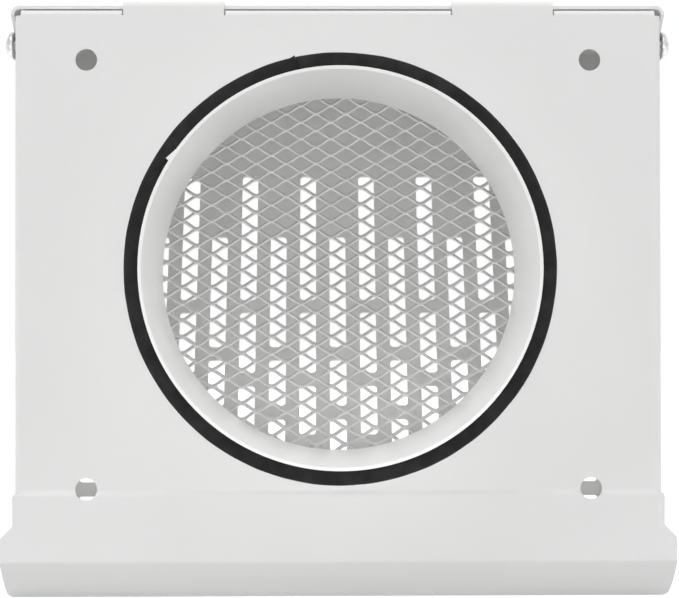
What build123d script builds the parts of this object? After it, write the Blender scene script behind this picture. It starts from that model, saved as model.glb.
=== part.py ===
from build123d import *
import os
from math import atan, cos, degrees, hypot, radians, sin

# Wall cap for an exhaust duct, folded from sheet steel. Millimetres, +Z up, +Y outdoors.
# The origin is on the duct's axis, in the plane where the base plate lies against the wall.

# Sheet metal
sheet = 0.8
bend = 1.5
fit_gap = 0.3

# Base plate
plate_width = 172.0
plate_top = 70.4
plate_bottom = -57.5
side_flange_depth = 16.0
top_flange_depth = 12.0
corner_relief = 0.8
flange_slit = 0.2
hole_spacing_x = 134.0
hole_spacing_z = 114.0
hole_diameter = 5.8

# Tabs that fold over the cover's top wall
tab_spacing = 87.6
tab_width = 26.8
tab_depth = 15.0
tab_slit = 0.4

# Drip lip
lip_proud = 0.6
lip_fold = 1.0
lip_lean = 2.5
lip_flat = 18.0
lip_overhang = 0.5
lip_shoulder = 1.2
ear_overhang = 3.9
ear_top = -66.7
ear_full = -70.1
ear_round = 1.6
ear_corner = 1.5
crease_angle = 34.0
crease_flat = 2.0
curl_angle = 26.0
curl_radius = 33.0

# Duct collar
collar_diameter = 95.0
collar_length = 48.0
collar_flange_width = 6.5
lap_start = 134.6
lap_span = 13.2

# Foam seal strip
seal_thickness = 3.9
seal_width = 14.0
seal_setback = 4.0
seal_edge = 0.5
seal_joint_angle = 102.0
seal_joint_gap = 0.3

# Expanded-metal screen
screen_thickness = 0.8
screen_margin = 1.5
mesh_long = 7.95
mesh_short = 4.42
mesh_strand = 0.9
mesh_shift_x = 1.95
mesh_shift_z = 0.99

# Front cover
cover_side_gap = 0.4
cover_top_gap = 0.4
cover_depth = 62.0
cover_foot = 4.5306
cover_bottom = -71.0
cover_bend = 2.3
wall_setback = 7.0
slot_pitch = 17.0
slot_width = 4.6
slot_corner = 0.6
slot_bridge = 3.85
slot_top = 45.05
slot_stagger = 19.7
long_slots = (39.5, 18.2, 14.2, 15.5)
short_slots = (34.2, 13.5, 17.9, 6.2)
long_columns = 8
short_columns = 9

# Cover screws
screw_from_wall = 6.5
screw_below_top = 9.8
screw_diameter = 4.0
screw_length = 6.5
screw_hole_gap = 0.3
thread_gap = 0.05
thread_boss = 1.5
thread_boss_wall = 0.8
head_diameter = 7.4
head_crown = 4.6
head_height = 2.3
head_edge = 0.8
recess_width = 1.0
recess_span = 3.6
recess_depth = 1.1

# Sizes that follow from those above
plate_half = plate_width / 2
collar_radius = collar_diameter / 2
bore_radius = collar_radius - sheet
lap_radius = collar_radius + sheet
flange_radius = collar_radius + collar_flange_width
screen_back = 2 * sheet
cover_half = plate_half + cover_side_gap + sheet
cover_top = plate_top + cover_top_gap + sheet
cover_rear = sheet + fit_gap
tab_top = cover_top + fit_gap + sheet
screw_height = cover_top - screw_below_top
screw_spot = (screw_from_wall, screw_height)
screw_radius = screw_diameter / 2
face_slope = (cover_depth - cover_foot) / (cover_top - cover_bottom)
face_angle = degrees(atan(face_slope))
face_wall = sheet / cos(radians(face_angle))


def face_depth(height):
    """Distance from the wall to the outside of the cover's sloping front at a height."""
    return cover_depth - (cover_top - height) * face_slope


def folded_section(*corners, side):
    """Section of a folded sheet: its outer line with rounded corners, one thickness deep."""
    with BuildLine() as section:
        FilletPolyline(*corners, radius=bend)
        offset(amount=sheet, side=side)
    make_face(section.edges())


# Base plate: flat sheet, drip lip, flanges and tabs in one piece
flat_half = plate_half - bend
flat_top = plate_top - bend
shoulder_top = plate_bottom - lip_fold / 2
flange_bottom = shoulder_top + flange_slit
flange_top = plate_top - 2 * corner_relief
flange_end = face_depth(flange_bottom) - face_wall - cover_bend
flange_knee = flange_bottom + (side_flange_depth - flange_end) / face_slope
lip_half = plate_half + lip_overhang
ear_half = plate_half + ear_overhang
lip_top = plate_bottom - lip_fold
kick = lip_lean + crease_angle

with BuildPart() as back_plate:
    with BuildSketch(Plane.YZ):
        with BuildLine():
            lean_line = PolarLine((-lip_proud, lip_top), lip_flat, lip_lean - 90, mode=Mode.PRIVATE)
            kick_line = PolarLine(lean_line @ 1, crease_flat, kick - 90, mode=Mode.PRIVATE)
            fold = FilletPolyline(
                (0, flat_top),
                (0, plate_bottom),
                lean_line @ 0,
                lean_line @ 1,
                kick_line @ 1,
                radius=bend,
            )
            JernArc(fold @ 1, fold % 1, curl_radius, curl_angle)
            offset(amount=sheet, side=Side.LEFT)
        make_face()
    extrude(amount=ear_half, both=True)
    lip_end = back_plate.part.bounding_box().min.Z
    with BuildSketch(Plane.XZ):
        with BuildLine():
            FilletPolyline(
                (0, flat_top),
                (flat_half, flat_top),
                (flat_half, shoulder_top),
                (lip_half, shoulder_top),
                (lip_half, ear_top),
                (ear_half, ear_full),
                (ear_half, lip_end),
                (0, lip_end),
                radius=(0, 0, lip_shoulder, ear_round, ear_round, ear_corner),
            )
            mirror(about=Plane.YZ)
        make_face()
    extrude(amount=plate_width, both=True, mode=Mode.INTERSECT)

    # Side flanges, cut back below to follow the slope of the cover
    with BuildSketch(Plane.XY.offset(flange_bottom)):
        folded_section((flat_half - bend, 0), (plate_half, 0), (plate_half, side_flange_depth), side=Side.LEFT)
        mirror(about=Plane.YZ)
    extrude(amount=flange_top - flange_bottom)
    with BuildSketch(Plane.YZ):
        with BuildLine():
            Polyline(
                (flange_end, flange_bottom),
                (side_flange_depth, flange_knee),
                (side_flange_depth, flange_bottom),
                close=True,
            )
        make_face()
    extrude(amount=ear_half, both=True, mode=Mode.SUBTRACT)

    # Top flange, opened for the two tabs, which fold over at a higher line
    with BuildSketch(Plane.YZ):
        folded_section((0, flat_top - bend), (0, plate_top), (top_flange_depth, plate_top), side=Side.RIGHT)
    extrude(amount=plate_half - 2 * corner_relief, both=True)
    with BuildSketch(Plane.XY.offset(flat_top)):
        with GridLocations(tab_spacing, 0, 2, 1):
            Rectangle(tab_width + 2 * tab_slit, 2 * tab_depth)
    extrude(amount=tab_top - flat_top, mode=Mode.SUBTRACT)
    for tab_x in (-tab_spacing / 2, tab_spacing / 2):
        with BuildSketch(Plane.YZ.offset(tab_x)):
            folded_section((0, flat_top - bend), (0, tab_top), (tab_depth, tab_top), side=Side.RIGHT)
        extrude(amount=tab_width / 2, both=True)

    # Corner reliefs, duct hole and wall-screw holes
    with BuildSketch(Plane.XZ):
        with Locations((0, plate_top - corner_relief)):
            with GridLocations(plate_width - 2 * corner_relief, 0, 2, 1):
                Circle(corner_relief)
        Circle(lap_radius + fit_gap)
        with GridLocations(hole_spacing_x, hole_spacing_z, 2, 2):
            Circle(hole_diameter / 2)
    extrude(amount=side_flange_depth, both=True, mode=Mode.SUBTRACT)

    # Extruded threads for the cover screws
    with BuildSketch(Plane.YZ.offset(plate_half - sheet)):
        with Locations(screw_spot):
            Circle(screw_radius + thread_boss_wall)
    thread = extrude(amount=-thread_boss)
    mirror(thread, about=Plane.YZ)
    with BuildSketch(Plane.YZ):
        with Locations(screw_spot):
            Circle(screw_radius + thread_gap)
    extrude(amount=plate_half, both=True, mode=Mode.SUBTRACT)
back_plate.part.label = "back_plate"


def lapped_end(mode=Mode.ADD):
    """Free end of the rolled strip: it leaves the roll along a tangent and ends one thickness above it."""
    lap_in = Vector(bore_radius, 0).rotate(Axis.Z, lap_start)
    lap_out = Vector(lap_radius, 0).rotate(Axis.Z, lap_start + lap_span)
    lap_under = Vector(bore_radius, 0).rotate(Axis.Z, lap_start + lap_span)
    with BuildLine() as lap:
        TangentArc(lap_in, lap_out, tangent=Vector(0, 1).rotate(Axis.Z, lap_start))
        Line(lap_out, lap_under)
        CenterArc((0, 0), bore_radius, lap_start, lap_span)
    make_face(lap.edges(), mode=mode)


# Duct collar: rolled strip, flanged against the front of the plate, with a lapped seam outside
with BuildPart() as duct_collar:
    with BuildSketch(Plane.XY):
        with BuildLine():
            Polyline(
                (bore_radius, -collar_length),
                (bore_radius, screen_back - bend),
                (bore_radius + bend, screen_back),
                (flange_radius, screen_back),
            )
            offset(amount=sheet, side=Side.RIGHT, kind=Kind.INTERSECTION)
        make_face()
    revolve(axis=Axis.Y)
    with BuildSketch(Plane.XZ.offset(fit_gap)):
        lapped_end()
    extrude(amount=collar_length - fit_gap)
duct_collar.part.label = "duct_collar"


# Foam strip wrapped round the collar, its ends butted
with BuildPart() as seal_strip:
    with BuildSketch(Plane.XZ.offset(collar_length - seal_setback)):
        Circle(collar_radius + seal_thickness)
        Circle(collar_radius, mode=Mode.SUBTRACT)
        lapped_end(mode=Mode.SUBTRACT)
    extrude(amount=-seal_width)
    chamfer(seal_strip.edges().filter_by(GeomType.CIRCLE).sort_by(SortBy.RADIUS)[-2:], seal_edge)
    with BuildSketch(Plane.XZ):
        with PolarLocations(collar_radius + seal_thickness / 2, 1, start_angle=seal_joint_angle):
            Rectangle(2 * seal_thickness, seal_joint_gap)
    extrude(amount=collar_length, mode=Mode.SUBTRACT)
seal_strip.part.label = "seal_strip"


# Expanded-metal screen on the collar's flange: rows of diamonds, every other one moved half a pitch
screen_radius = flange_radius - screen_margin
long_half = mesh_long / 2
short_half = mesh_short / 2
opening_share = 1 - mesh_strand * hypot(long_half, short_half) / (2 * long_half * short_half)
across = range(-int(bore_radius / long_half) - 1, int(bore_radius / long_half) + 2)
upward = range(-int(bore_radius / short_half) - 1, int(bore_radius / short_half) + 2)
lattice = [
    (mesh_shift_x + column * long_half, mesh_shift_z + row * short_half)
    for column in across
    for row in upward
    if (column + row) % 2 == 0
]

with BuildPart() as insect_screen:
    with BuildSketch(Plane.XZ.offset(-screen_back)):
        Circle(screen_radius)
        with Locations([centre for centre in lattice if hypot(*centre) < bore_radius - short_half]):
            Polygon(
                (-long_half * opening_share, 0),
                (0, -short_half * opening_share),
                (long_half * opening_share, 0),
                (0, short_half * opening_share),
                mode=Mode.SUBTRACT,
            )
    extrude(amount=-screen_thickness)
insect_screen.part.label = "insect_screen"


# Front cover: top wall, side walls and sloping slotted front, folded from one sheet
# The rear edge of each side wall slopes back to a notch that slides over the screw
face_plane = Plane(
    origin=(0, cover_depth, cover_top),
    x_dir=(1, 0, 0),
    z_dir=(0, cos(radians(face_angle)), -sin(radians(face_angle))),
)
wall_shoulder = cover_top - cover_bend
notch_top = screw_height + screw_radius + screw_hole_gap


def slot_column_set(lengths, first, columns):
    """One set of slot columns on the front, each column the same lengths with a bridge between."""
    down = first
    for length in lengths:
        with Locations((0, down + length / 2)):
            with GridLocations(slot_pitch, 0, columns, 1):
                Rectangle(slot_width, length)
        down += length + slot_bridge


with BuildPart() as front_cover:
    with BuildSketch(Plane.YZ):
        with BuildLine():
            Polyline(
                (cover_rear, cover_top),
                (cover_depth, cover_top),
                (face_depth(cover_bottom), cover_bottom),
                (cover_rear, cover_bottom),
                close=True,
            )
        make_face()
    extrude(amount=cover_half, both=True)
    rear = front_cover.faces().sort_by(Axis.Y)[0]
    underside = front_cover.faces().sort_by(Axis.Z)[0]
    open_edges = rear.edges() + underside.edges()
    fillet([edge for edge in front_cover.edges() if edge not in open_edges], cover_bend)
    rear = front_cover.faces().sort_by(Axis.Y)[0]
    underside = front_cover.faces().sort_by(Axis.Z)[0]
    offset(amount=-sheet, openings=[rear, underside])
    with BuildSketch(Plane.YZ.offset(-cover_half), Plane.YZ.offset(cover_half - cover_bend)):
        with BuildLine():
            Polyline(
                (cover_rear, wall_shoulder),
                (wall_setback, notch_top),
                (wall_setback, cover_bottom),
                (0, cover_bottom),
                (0, wall_shoulder),
                close=True,
            )
        make_face()
    extrude(amount=cover_bend, mode=Mode.SUBTRACT)
    with BuildSketch(face_plane) as slots:
        slot_column_set(long_slots, slot_top, long_columns)
        slot_column_set(short_slots, slot_top + slot_stagger, short_columns)
        chamfer(slots.vertices(), slot_corner)
    extrude(amount=2 * sheet, both=True, mode=Mode.SUBTRACT)
    with BuildSketch(Plane.YZ):
        with Locations(screw_spot):
            Circle(screw_radius + screw_hole_gap)
    extrude(amount=cover_half, both=True, mode=Mode.SUBTRACT)
front_cover.part.label = "front_cover"


# Cover screws: pan head outside the cover, plain shank through to the thread in the flange
head_top = cover_half + head_height
screw_tip = cover_half - screw_length
screw_axis = Axis((0, *screw_spot), (1, 0, 0))

with BuildPart() as cover_screw_right:
    with BuildSketch(Plane((0, *screw_spot))):
        with BuildLine():
            Polyline(
                (head_top, 0),
                (screw_tip, 0),
                (screw_tip, screw_radius),
                (cover_half, screw_radius),
                (cover_half, head_diameter / 2),
                (cover_half + head_edge, head_diameter / 2),
                (head_top, head_crown / 2),
                close=True,
            )
        make_face()
    revolve(axis=screw_axis)
    with BuildSketch(Plane.YZ.offset(head_top)):
        with Locations(screw_spot):
            Rectangle(recess_span, recess_width)
            Rectangle(recess_width, recess_span)
    extrude(amount=-recess_depth, mode=Mode.SUBTRACT)
cover_screw_right.part.label = "cover_screw_right"

with BuildPart() as cover_screw_left:
    mirror(cover_screw_right.part, about=Plane.YZ)
cover_screw_left.part.label = "cover_screw_left"


os.makedirs("parts", exist_ok=True)
export_step(back_plate.part, "parts/back_plate.step")
export_step(duct_collar.part, "parts/duct_collar.step")
export_step(seal_strip.part, "parts/seal_strip.step")
export_step(insect_screen.part, "parts/insect_screen.step")
export_step(front_cover.part, "parts/front_cover.step")
export_step(cover_screw_left.part, "parts/cover_screw_left.step")
export_step(cover_screw_right.part, "parts/cover_screw_right.step")
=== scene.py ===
import math

import bmesh
import bpy
import numpy as np
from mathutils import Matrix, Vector


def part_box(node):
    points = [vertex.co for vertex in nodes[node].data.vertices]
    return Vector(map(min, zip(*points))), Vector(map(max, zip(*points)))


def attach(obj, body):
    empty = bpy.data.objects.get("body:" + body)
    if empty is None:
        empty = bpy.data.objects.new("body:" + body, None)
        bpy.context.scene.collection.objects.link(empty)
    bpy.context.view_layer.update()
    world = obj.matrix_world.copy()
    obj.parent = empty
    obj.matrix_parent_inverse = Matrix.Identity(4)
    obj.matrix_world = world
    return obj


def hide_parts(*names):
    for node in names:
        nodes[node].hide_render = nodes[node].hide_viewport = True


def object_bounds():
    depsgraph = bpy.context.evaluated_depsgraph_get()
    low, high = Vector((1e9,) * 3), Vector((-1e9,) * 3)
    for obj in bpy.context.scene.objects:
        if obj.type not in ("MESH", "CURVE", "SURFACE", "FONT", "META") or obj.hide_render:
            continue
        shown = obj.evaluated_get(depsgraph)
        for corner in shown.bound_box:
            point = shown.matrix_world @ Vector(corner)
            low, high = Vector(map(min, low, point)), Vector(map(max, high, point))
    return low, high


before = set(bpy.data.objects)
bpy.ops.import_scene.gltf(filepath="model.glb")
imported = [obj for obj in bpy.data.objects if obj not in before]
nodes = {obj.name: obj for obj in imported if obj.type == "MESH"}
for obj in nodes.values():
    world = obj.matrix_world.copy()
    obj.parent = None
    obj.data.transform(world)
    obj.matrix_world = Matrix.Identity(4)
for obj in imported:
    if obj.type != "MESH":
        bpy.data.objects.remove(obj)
cad_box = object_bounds()

# Back plate. One folded sheet of zinc-plated steel, powder coated white after folding: a satin skin
# with a fine orange-peel texture. Four screws hold it to the wall.

COAT_DRIFT = 0.015
COAT_WARMTH = 0.005
GLOSS_DRIFT = 0.05
PEEL_SIZE = 0.0013
CLOUD_SIZE = 0.035


def baked_coat(name, white, roughness, shine, peel_height):
    """Pale skin: two near whites in slow clouds, a bump of fine peel, and gloss that drifts a little."""
    material = bpy.data.materials.new(name)
    material.use_nodes = True
    tree = material.node_tree
    surface = tree.nodes["Principled BSDF"]
    place = tree.nodes.new("ShaderNodeTexCoord")

    clouds = tree.nodes.new("ShaderNodeTexNoise")
    clouds.inputs["Scale"].default_value = 1 / CLOUD_SIZE
    clouds.inputs["Detail"].default_value = 4
    tree.links.new(place.outputs["Object"], clouds.inputs["Vector"])
    whites = tree.nodes.new("ShaderNodeValToRGB")
    shade = white - COAT_DRIFT
    whites.color_ramp.elements[0].position = 0.35
    whites.color_ramp.elements[0].color = (shade, shade, shade - COAT_WARMTH, 1)
    whites.color_ramp.elements[1].position = 0.65
    whites.color_ramp.elements[1].color = (white, white, white - COAT_WARMTH, 1)
    tree.links.new(clouds.outputs["Fac"], whites.inputs["Fac"])
    tree.links.new(whites.outputs["Color"], surface.inputs["Base Color"])

    gloss = tree.nodes.new("ShaderNodeMapRange")
    gloss.inputs["To Min"].default_value = roughness - GLOSS_DRIFT
    gloss.inputs["To Max"].default_value = roughness + GLOSS_DRIFT
    tree.links.new(clouds.outputs["Fac"], gloss.inputs["Value"])
    tree.links.new(gloss.outputs["Result"], surface.inputs["Roughness"])

    peel = tree.nodes.new("ShaderNodeTexNoise")
    peel.inputs["Scale"].default_value = 1 / PEEL_SIZE
    peel.inputs["Detail"].default_value = 2
    tree.links.new(place.outputs["Object"], peel.inputs["Vector"])
    bump = tree.nodes.new("ShaderNodeBump")
    bump.inputs["Strength"].default_value = 0.25
    bump.inputs["Distance"].default_value = peel_height
    tree.links.new(peel.outputs["Fac"], bump.inputs["Height"])
    tree.links.new(bump.outputs["Normal"], surface.inputs["Normal"])

    surface.inputs["IOR"].default_value = 1.5
    surface.inputs["Specular IOR Level"].default_value = shine
    return material


def finish_node(node, material):
    """Gives a solid of the frame one material all over."""
    mesh = nodes[node].data
    mesh.materials.clear()
    mesh.materials.append(material)


plate_coat = baked_coat("plate_powder_coat", white=0.93, roughness=0.42, shine=0.5, peel_height=0.00006)
finish_node("back_plate", plate_coat)

# Duct collar. A rolled strip of the same sheet, lapped and spot welded, flanged and fixed to the plate
# before coating. Its coat is painted whiter than the plate's as painted light for its bright bore, and is
# smoother and less shiny.

# The whiter coat here is painted light in the collar's bore.
collar_painted_light_coat = baked_coat("collar_coat_painted_light", white=0.985, roughness=0.3, shine=0.1, peel_height=0.00004)
finish_node("duct_collar", collar_painted_light_coat)

# Seal strip. A strip of black closed-cell foam rubber, stuck round the collar's mouth with its two
# ends butted near the top; cut from sheet, so its edges are soft and its surface a little uneven.

seal_low, seal_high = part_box("seal_strip")
SEAL_OUTER = (seal_high.x - seal_low.x) / 2
SEAL_INNER = 0.0475
SEAL_EDGE = 0.0009
SEAL_WAVE = 0.00002
SEAL_SIDE_WAVE = 0.00005
SEAL_JOINT = math.radians(102)
SEAL_JOINT_GAP = 0.00006
SEAL_JOINT_STEP = 0.0004
SEAL_JOINT_REACH = 0.0012
SEAL_LAP = math.radians(134.6)
SEAL_LAP_SPAN = math.radians(13.2)
SEAL_LAP_RISE = 0.0008
SEAL_LAP_SETTLE = math.radians(1.0)
FOAM_BLACK = (0.012, 0.012, 0.0125, 1.0)
FOAM_GREY = (0.03, 0.03, 0.031, 1.0)


def put_in_mesh(name, points, faces):
    """Makes a smooth mesh object at the origin from an array of points and a list of faces.
    Points that coincide are joined."""
    mesh = bpy.data.meshes.new(name)
    mesh.from_pydata(points.reshape(-1, 3), [], faces)
    welded = bmesh.new()
    welded.from_mesh(mesh)
    bmesh.ops.remove_doubles(welded, verts=welded.verts, dist=1e-7)
    welded.to_mesh(mesh)
    welded.free()
    mesh.shade_smooth()
    piece = bpy.data.objects.new(name, mesh)
    bpy.context.scene.collection.objects.link(piece)
    return piece


def tube_quads(rings, sides):
    """Quads between neighbouring rings of points, each ring closed on itself after its last side."""
    ring = np.arange(rings - 1)[:, None] * sides
    side = np.arange(sides)[None, :]
    next_side = (side + 1) % sides
    corners = (ring + side, ring + next_side, ring + sides + next_side, ring + sides + side)
    return np.stack(corners, -1).reshape(-1, 4)


def rounded_rectangle(low, high, radius, steps):
    """Closed outline round a rectangle: a quarter circle at each corner, joined by straight sides."""
    turn = np.linspace(0, math.pi / 2, steps)
    quarters = np.concatenate([turn + quarter * math.pi / 2 for quarter in range(4)])
    signs = np.repeat([[1, 1], [-1, 1], [-1, -1], [1, -1]], steps, axis=0)
    middle = (high + low) / 2
    half = (high - low) / 2
    return middle + signs * (half - radius) + radius * np.stack([np.cos(quarters), np.sin(quarters)], -1)


def foam_band(turns, steps):
    """A rounded rectangle (radius, depth) carried round the duct's axis from one side of the butt joint
    to the other. Its back rises with the square of the angle along the collar's lap and drops behind the
    lap's edge. Sums of sines move its outer face in and out, one sine moves it to and fro, and one end
    lifts a little at the joint."""
    half_gap = SEAL_JOINT_GAP / 2 / SEAL_OUTER
    angle = np.linspace(SEAL_JOINT + half_gap, SEAL_JOINT + 2 * math.pi - half_gap, turns)[:, None]
    outline = rounded_rectangle(
        np.array([SEAL_INNER, seal_low.y]), np.array([SEAL_OUTER, seal_high.y]), SEAL_EDGE, steps
    )
    radius = outline[None, :, 0]
    depth = outline[None, :, 1]
    outward = (radius - SEAL_INNER) / (SEAL_OUTER - SEAL_INNER)
    over_lap = np.clip((angle - SEAL_LAP) / SEAL_LAP_SPAN, 0, 1) ** 2
    past_lap = np.clip((angle - SEAL_LAP - SEAL_LAP_SPAN) / SEAL_LAP_SETTLE, 0, 1)
    over_lap = over_lap * (1 - past_lap)
    waves = np.sin(11 * angle + 0.7) + np.sin(23 * angle + 2.1)
    waves = waves + 0.7 * np.sin(47 * angle + 90 * depth / SEAL_OUTER)
    lifted = np.clip(1 - (angle - SEAL_JOINT) * SEAL_OUTER / SEAL_JOINT_REACH, 0, 1)
    radius = radius + (1 - outward) * SEAL_LAP_RISE * over_lap
    radius = radius + outward * (SEAL_WAVE * waves + SEAL_JOINT_STEP * lifted)
    depth = depth + SEAL_SIDE_WAVE * np.sin(17 * angle + 1.3)
    return np.stack([radius * np.cos(angle), depth, radius * np.sin(angle)], -1)


band = foam_band(turns=260, steps=5)
band_turns, band_sides = band.shape[:2]
band_faces = tube_quads(band_turns, band_sides).tolist()
band_faces.append(list(range(band_sides - 1, -1, -1)))
band_faces.append(list(range((band_turns - 1) * band_sides, band_turns * band_sides)))
seal_strip = put_in_mesh("seal_strip_foam", band, band_faces)

foam = bpy.data.materials.new("seal_foam_rubber")
foam.use_nodes = True
foam_tree = foam.node_tree
foam_surface = foam_tree.nodes["Principled BSDF"]
foam_place = foam_tree.nodes.new("ShaderNodeTexCoord")
foam_cells = foam_tree.nodes.new("ShaderNodeTexVoronoi")
foam_cells.inputs["Scale"].default_value = 2200
foam_tree.links.new(foam_place.outputs["Object"], foam_cells.inputs["Vector"])
foam_tone = foam_tree.nodes.new("ShaderNodeTexNoise")
foam_tone.inputs["Scale"].default_value = 180
foam_tone.inputs["Detail"].default_value = 5
foam_tree.links.new(foam_place.outputs["Object"], foam_tone.inputs["Vector"])
foam_colours = foam_tree.nodes.new("ShaderNodeValToRGB")
foam_colours.color_ramp.elements[0].position = 0.4
foam_colours.color_ramp.elements[0].color = FOAM_BLACK
foam_colours.color_ramp.elements[1].position = 0.75
foam_colours.color_ramp.elements[1].color = FOAM_GREY
foam_tree.links.new(foam_tone.outputs["Fac"], foam_colours.inputs["Fac"])
foam_tree.links.new(foam_colours.outputs["Color"], foam_surface.inputs["Base Color"])
foam_bump = foam_tree.nodes.new("ShaderNodeBump")
foam_bump.inputs["Strength"].default_value = 0.5
foam_bump.inputs["Distance"].default_value = 0.0001
foam_tree.links.new(foam_cells.outputs["Distance"], foam_bump.inputs["Height"])
foam_tree.links.new(foam_bump.outputs["Normal"], foam_surface.inputs["Normal"])
foam_surface.inputs["Roughness"].default_value = 0.85
foam_surface.inputs["Specular IOR Level"].default_value = 0.3
seal_strip.data.materials.append(foam)
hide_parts("seal_strip")
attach(seal_strip, "root")

# Insect screen. A disc of expanded metal on the collar's flange: slit sheet, pulled open into diamonds,
# which turns every strand on edge with its lower side towards the duct. The strands' faces are painted a
# darker grey as painted shade, and their sheared edges a lighter grey as painted light.

screen_low, screen_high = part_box("insect_screen")
SCREEN_RADIUS = (screen_high.x - screen_low.x) / 2
MESH_LONG = 0.00795
MESH_SHORT = 0.00442
MESH_SHIFT_X = 0.00195
MESH_SHIFT_Z = 0.00099
STRAND_WIDTH = 0.0013
STRAND_THICK = 0.00045
STRAND_TILT = math.radians(54)
STRAND_STEPS = 12
STRAND_KNEE = 0.1


def zigzag(phase):
    """Rounded triangle wave between -1 and 1, one rise and fall for each unit of phase."""
    share = 1 - STRAND_KNEE
    return np.arcsin(share * np.cos(2 * math.pi * phase)) / math.asin(share)


def strand_outline():
    """Section of one strand in depth and height: a thin rectangle turned with its lower edge forward."""
    across = np.array([-0.5, 0.5, 0.5, -0.5]) * STRAND_WIDTH
    through = np.array([-0.5, -0.5, 0.5, 0.5]) * STRAND_THICK
    depth = across * math.sin(STRAND_TILT) + through * math.cos(STRAND_TILT)
    height = across * math.cos(STRAND_TILT) - through * math.sin(STRAND_TILT)
    return depth, height


def strand_row(row):
    """One strand across the disc: the turned rectangle carried along a zigzag, up to the disc's rim."""
    level = MESH_SHIFT_Z + (row + 0.5) * MESH_SHORT / 2
    reach = math.sqrt(SCREEN_RADIUS**2 - level**2)
    across = np.linspace(-reach, reach, max(4, round(2 * reach / MESH_LONG * STRAND_STEPS)))[:, None]
    side = 1 if row % 2 == 0 else -1
    wave = side * zigzag((across - MESH_SHIFT_X) / MESH_LONG)
    depth, height = strand_outline()
    middle = (screen_low.y + screen_high.y) / 2
    tall = level + wave * MESH_SHORT / 4 + height[None, :]
    return np.stack(np.broadcast_arrays(across, middle + depth[None, :], tall), -1)


# Every other side of a strand is a face (0), painted darker as shade; the sides between and both ends are
# sheared edges (1), painted lighter as light.
strand_limit = int(SCREEN_RADIUS / MESH_SHORT * 2) - 1
strand_points = []
strand_faces = []
strand_painted_tone = []
strand_count = 0
for strand_number in range(-strand_limit, strand_limit):
    strand = strand_row(strand_number)
    length = len(strand)
    strand_points.append(strand.reshape(-1, 3))
    strand_faces.append(tube_quads(length, 4)[:, ::-1] + strand_count)
    strand_ends = np.array([[0, 1, 2, 3], [3, 2, 1, 0]]) + np.array([[0], [4 * (length - 1)]])
    strand_faces.append(strand_ends + strand_count)
    strand_painted_tone.append(np.append(np.tile([0, 1, 0, 1], length - 1), [1, 1]))
    strand_count += 4 * length
insect_screen = put_in_mesh(
    "insect_screen_strands", np.concatenate(strand_points), np.concatenate(strand_faces).tolist()
)
insect_screen.data.shade_flat()
# The darker faces are painted shade and the lighter edges are painted light.
insect_screen.data.materials.append(
    baked_coat("screen_face_painted_shade", white=0.72, roughness=0.5, shine=0.3, peel_height=0.00003)
)
insect_screen.data.materials.append(
    baked_coat("screen_edge_painted_light", white=0.9, roughness=0.4, shine=0.5, peel_height=0.00003)
)
insect_screen.data.polygons.foreach_set("material_index", np.concatenate(strand_painted_tone))
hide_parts("insect_screen")
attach(insect_screen, "root")

# Front cover. The outer hood, one sheet folded into a top wall, two side walls and a sloping front
# with staggered slots, coated inside and out, hooked under the plate's two tabs and held by two screws.

cover_coat = baked_coat("cover_powder_coat", white=0.94, roughness=0.42, shine=0.5, peel_height=0.00006)
finish_node("front_cover", cover_coat)

# Cover screws. Two zinc-plated pan heads with a cross recess, through notches in the cover's side walls
# into the threads drawn in the plate's side flanges.

screw_low, screw_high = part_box("cover_screw_right")
SCREW_AXIS = np.array([0.0, (screw_low.y + screw_high.y) / 2, (screw_low.z + screw_high.z) / 2])
HEAD_RADIUS = (screw_high.y - screw_low.y) / 2
HEAD_HEIGHT = 0.0023
HEAD_SEAT = screw_high.x - HEAD_HEIGHT
HEAD_RIM = 0.0008
HEAD_EDGE = 0.0001
SHANK_RADIUS = 0.002
TIP_SHARE = 0.55
TIP_GROWTH = 3.5
THREAD_PITCH = 0.0007
THREAD_DEPTH = 0.00035
RECESS_SPAN = 0.0019
RECESS_WIDTH = 0.0005
RECESS_DEPTH = 0.0013
RECESS_SIDE = 0.00012
RECESS_END = 0.0003
RECESS_TAPER = 0.5
ZINC_PALE = (0.82, 0.825, 0.83, 1.0)
ZINC_DARK = (0.5, 0.505, 0.51, 1.0)


def pan_head(radius, angle):
    """Height of the head over its polar grid: a circular dome, with a tapering cross cut in where the
    point lies close to either of two lines across the middle."""
    dome_height = HEAD_HEIGHT - HEAD_RIM
    sphere = (HEAD_RADIUS**2 + dome_height**2) / (2 * dome_height)
    along = np.abs(radius * np.cos(angle))
    aside = np.abs(radius * np.sin(angle))
    reach = np.maximum(along, aside)
    off = np.minimum(along, aside)
    inside = np.clip((RECESS_WIDTH - off) / RECESS_SIDE, 0, 1)
    inside = inside * np.clip((RECESS_SPAN - reach) / RECESS_END, 0, 1)
    recess = inside * RECESS_DEPTH * (1 - RECESS_TAPER * reach / RECESS_SPAN)
    return screw_high.x - sphere + np.sqrt(sphere**2 - radius**2) - recess


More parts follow.
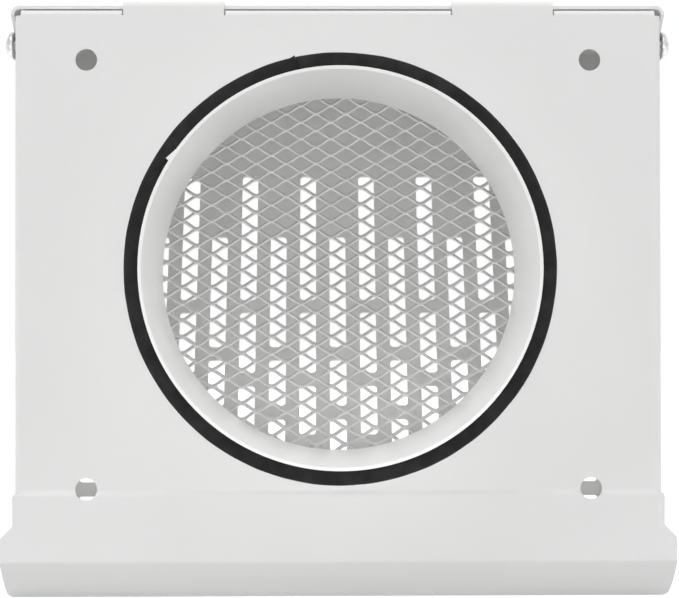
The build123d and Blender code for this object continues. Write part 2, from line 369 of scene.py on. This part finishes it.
def pan_screw(steps, rings, turns):
    """One closed surface over length and angle. The radius runs from nothing at the tip along the shank,
    where a triangle wave winds once round for each pitch, then out over the seat, up the rim and in over
    the dome."""
    angle = np.linspace(0, 2 * math.pi, turns, endpoint=False)[None, :]
    length = np.linspace(0, 1, steps)[:, None]
    shank = screw_low.x + length * (HEAD_SEAT - screw_low.x) + 0 * angle
    crest = 1 - np.abs(2 * ((shank / THREAD_PITCH - angle / (2 * math.pi)) % 1) - 1)
    tip_radius = SHANK_RADIUS * (TIP_SHARE + TIP_GROWTH * length)
    shank_radius = np.minimum(SHANK_RADIUS - THREAD_DEPTH * (1 - crest), tip_radius)
    rim_radius = np.array([HEAD_RADIUS - HEAD_EDGE, HEAD_RADIUS])[:, None] + 0 * angle
    rim = HEAD_SEAT + np.array([0, HEAD_EDGE])[:, None] + 0 * angle
    dome_radius = np.linspace(HEAD_RADIUS, 0, rings)[:, None] + 0 * angle
    tip = np.full((1, turns), screw_low.x)
    reach = np.concatenate([tip, shank, rim, pan_head(dome_radius, angle)])
    radius = np.concatenate([0 * tip, shank_radius, rim_radius, dome_radius])
    return np.stack([reach, radius * np.cos(angle), radius * np.sin(angle)], -1) + SCREW_AXIS


zinc = bpy.data.materials.new("screw_zinc_plate")
zinc.use_nodes = True
zinc_tree = zinc.node_tree
zinc_surface = zinc_tree.nodes["Principled BSDF"]
zinc_place = zinc_tree.nodes.new("ShaderNodeTexCoord")
zinc_spangle = zinc_tree.nodes.new("ShaderNodeTexNoise")
zinc_spangle.inputs["Scale"].default_value = 900
zinc_spangle.inputs["Detail"].default_value = 4
zinc_tree.links.new(zinc_place.outputs["Object"], zinc_spangle.inputs["Vector"])
zinc_colours = zinc_tree.nodes.new("ShaderNodeValToRGB")
zinc_colours.color_ramp.elements[0].position = 0.35
zinc_colours.color_ramp.elements[0].color = ZINC_DARK
zinc_colours.color_ramp.elements[1].position = 0.65
zinc_colours.color_ramp.elements[1].color = ZINC_PALE
zinc_tree.links.new(zinc_spangle.outputs["Fac"], zinc_colours.inputs["Fac"])
zinc_tree.links.new(zinc_colours.outputs["Color"], zinc_surface.inputs["Base Color"])
zinc_gloss = zinc_tree.nodes.new("ShaderNodeMapRange")
zinc_gloss.inputs["To Min"].default_value = 0.2
zinc_gloss.inputs["To Max"].default_value = 0.36
zinc_tree.links.new(zinc_spangle.outputs["Fac"], zinc_gloss.inputs["Value"])
zinc_tree.links.new(zinc_gloss.outputs["Result"], zinc_surface.inputs["Roughness"])
zinc_surface.inputs["Metallic"].default_value = 1.0

screw_points = pan_screw(steps=64, rings=34, turns=72)
screw_quads = tube_quads(*screw_points.shape[:2])
for screw_name, side in (("cover_screw_right", 1), ("cover_screw_left", -1)):
    side_quads = screw_quads[:, ::side].tolist()
    cover_screw = put_in_mesh(screw_name + "_zinc", screw_points * (side, 1, 1), side_quads)
    cover_screw.data.materials.append(zinc)
    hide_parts(screw_name)
    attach(cover_screw, "root")

# Studio. A white floor in a white room that is brightest in a broad ring round the camera. Soft lamps
# hang above, far behind the camera and low in front of the drip lip.

FLOOR_HALF = 3.0
FLOOR_GAP = 0.0003
PAPER_GREY = 0.6
PAPER_SEEN = 0.8
PAPER_LIFT = 0.12
ROOM_LIGHT = 1.8
ROOM_FRONT = 0.04
ROOM_SIDE = 0.35
ROOM_OUTDOOR = 0.38


def white_for_eye(tree):
    """One where the ray comes from the camera, a shiny surface or glass, and zero for light that bounces."""
    path = tree.nodes.new("ShaderNodeLightPath")
    seen = tree.nodes.new("ShaderNodeMath")
    seen.operation = "MAXIMUM"
    tree.links.new(path.outputs["Is Camera Ray"], seen.inputs[0])
    tree.links.new(path.outputs["Is Glossy Ray"], seen.inputs[1])
    eye = tree.nodes.new("ShaderNodeMath")
    eye.operation = "MAXIMUM"
    tree.links.new(seen.outputs["Value"], eye.inputs[0])
    tree.links.new(path.outputs["Is Transmission Ray"], eye.inputs[1])
    return eye.outputs["Value"]


floor_corner = np.array([[-1, -1], [1, -1], [1, 1], [-1, 1]]) * FLOOR_HALF
floor_level = np.full((4, 1), cad_box[0].z - FLOOR_GAP)
floor = put_in_mesh("studio_floor", np.hstack([floor_corner, floor_level]), [[0, 1, 2, 3]])
paper = bpy.data.materials.new("floor_paper")
paper.use_nodes = True
paper_tree = paper.node_tree
paper_tree.nodes.remove(paper_tree.nodes["Principled BSDF"])
paper_matt = paper_tree.nodes.new("ShaderNodeBsdfDiffuse")
paper_matt.inputs["Color"].default_value = (PAPER_GREY, PAPER_GREY, PAPER_GREY, 1.0)
paper_glow = paper_tree.nodes.new("ShaderNodeEmission")
paper_glow.inputs["Strength"].default_value = PAPER_SEEN
paper_both = paper_tree.nodes.new("ShaderNodeAddShader")
paper_tree.links.new(paper_matt.outputs["BSDF"], paper_both.inputs[0])
paper_tree.links.new(paper_glow.outputs["Emission"], paper_both.inputs[1])
paper_lift = paper_tree.nodes.new("ShaderNodeEmission")
paper_lift.inputs["Strength"].default_value = PAPER_LIFT
paper_base = paper_tree.nodes.new("ShaderNodeAddShader")
paper_tree.links.new(paper_matt.outputs["BSDF"], paper_base.inputs[0])
paper_tree.links.new(paper_lift.outputs["Emission"], paper_base.inputs[1])
paper_mix = paper_tree.nodes.new("ShaderNodeMixShader")
paper_tree.links.new(white_for_eye(paper_tree), paper_mix.inputs["Fac"])
paper_tree.links.new(paper_base.outputs["Shader"], paper_mix.inputs[1])
paper_tree.links.new(paper_both.outputs["Shader"], paper_mix.inputs[2])
paper_tree.links.new(paper_mix.outputs["Shader"], paper_tree.nodes["Material Output"].inputs["Surface"])
floor.data.materials.append(paper)

room = bpy.data.worlds.new("white_room")
room.use_nodes = True
bpy.context.scene.world = room
room_tree = room.node_tree
room_plain = room_tree.nodes["Background"]
room_way = room_tree.nodes.new("ShaderNodeTexCoord")
room_axes = room_tree.nodes.new("ShaderNodeSeparateXYZ")
room_tree.links.new(room_way.outputs["Generated"], room_axes.inputs["Vector"])
room_turn = room_tree.nodes.new("ShaderNodeMapRange")
room_turn.inputs["From Min"].default_value = -1.0
room_tree.links.new(room_axes.outputs["Y"], room_turn.inputs["Value"])
# The ramp runs from 0, straight behind the camera, to 1, straight outdoors.
room_fade = room_tree.nodes.new("ShaderNodeValToRGB")
room_fade.color_ramp.elements[0].position = 0.125
room_fade.color_ramp.elements[0].color = (ROOM_FRONT, ROOM_FRONT, ROOM_FRONT, 1)
room_fade.color_ramp.elements[1].position = 0.6
room_fade.color_ramp.elements[1].color = (ROOM_OUTDOOR, ROOM_OUTDOOR, ROOM_OUTDOOR, 1)
room_fade.color_ramp.elements.new(0.19).color = (1, 1, 1, 1)
room_fade.color_ramp.elements.new(0.3).color = (1, 1, 1, 1)
room_fade.color_ramp.elements.new(0.38).color = (ROOM_SIDE, ROOM_SIDE, ROOM_SIDE, 1)
room_tree.links.new(room_turn.outputs["Result"], room_fade.inputs["Fac"])
room_tree.links.new(room_fade.outputs["Color"], room_plain.inputs["Color"])
room_plain.inputs["Strength"].default_value = ROOM_LIGHT
room_seen = room_tree.nodes.new("ShaderNodeBackground")
room_seen.inputs["Color"].default_value = (1, 1, 1, 1)
room_seen.inputs["Strength"].default_value = 1.0
room_mix = room_tree.nodes.new("ShaderNodeMixShader")
room_tree.links.new(white_for_eye(room_tree), room_mix.inputs["Fac"])
room_tree.links.new(room_plain.outputs["Background"], room_mix.inputs[1])
room_tree.links.new(room_seen.outputs["Background"], room_mix.inputs[2])
room_tree.links.new(room_mix.outputs["Shader"], room_tree.nodes["World Output"].inputs["Surface"])


def soft_lamp(name, place, target, size, power, spread=180):
    """A square soft box that faces a point, with a grid that narrows its beam to so many degrees."""
    light = bpy.data.lights.new(name, "AREA")
    light.size = size
    light.energy = power
    light.spread = math.radians(spread)
    lamp = bpy.data.objects.new(name, light)
    lamp.location = place
    lamp.rotation_euler = (Vector(target) - Vector(place)).to_track_quat("-Z", "Y").to_euler()
    bpy.context.scene.collection.objects.link(lamp)


soft_lamp("top_lamp", place=(-0.2, -0.55, 0.9), target=(0, 0, 0), size=0.8, power=1.7)
soft_lamp("front_lamp", place=(0, -1.4, 0.1), target=(0, 0, 0), size=1.0, power=0.6)
soft_lamp("low_lamp", place=(0, -0.34, -0.05), target=(0, 0, -0.068), size=0.07, power=0.013, spread=45)

# Camera. It stands square to the wall side, a little below the duct's axis, and looks up slightly.
# Light may bounce often, because the hood's inside is lit only through the collar and the slots.

camera_data = bpy.data.cameras.new("wall_side_camera")
camera_data.sensor_width = 36.0
camera_data.lens = 79.85
camera = bpy.data.objects.new("wall_side_camera", camera_data)
camera.location = (-0.0040, -0.400, -0.0117)
camera.rotation_euler = (math.radians(90.72), math.radians(0.1), math.radians(-0.6))
bpy.context.scene.collection.objects.link(camera)
bpy.context.scene.camera = camera
bpy.context.scene.view_settings.view_transform = "Standard"
bpy.context.scene.cycles.max_bounces = 16
bpy.context.scene.cycles.diffuse_bounces = 12
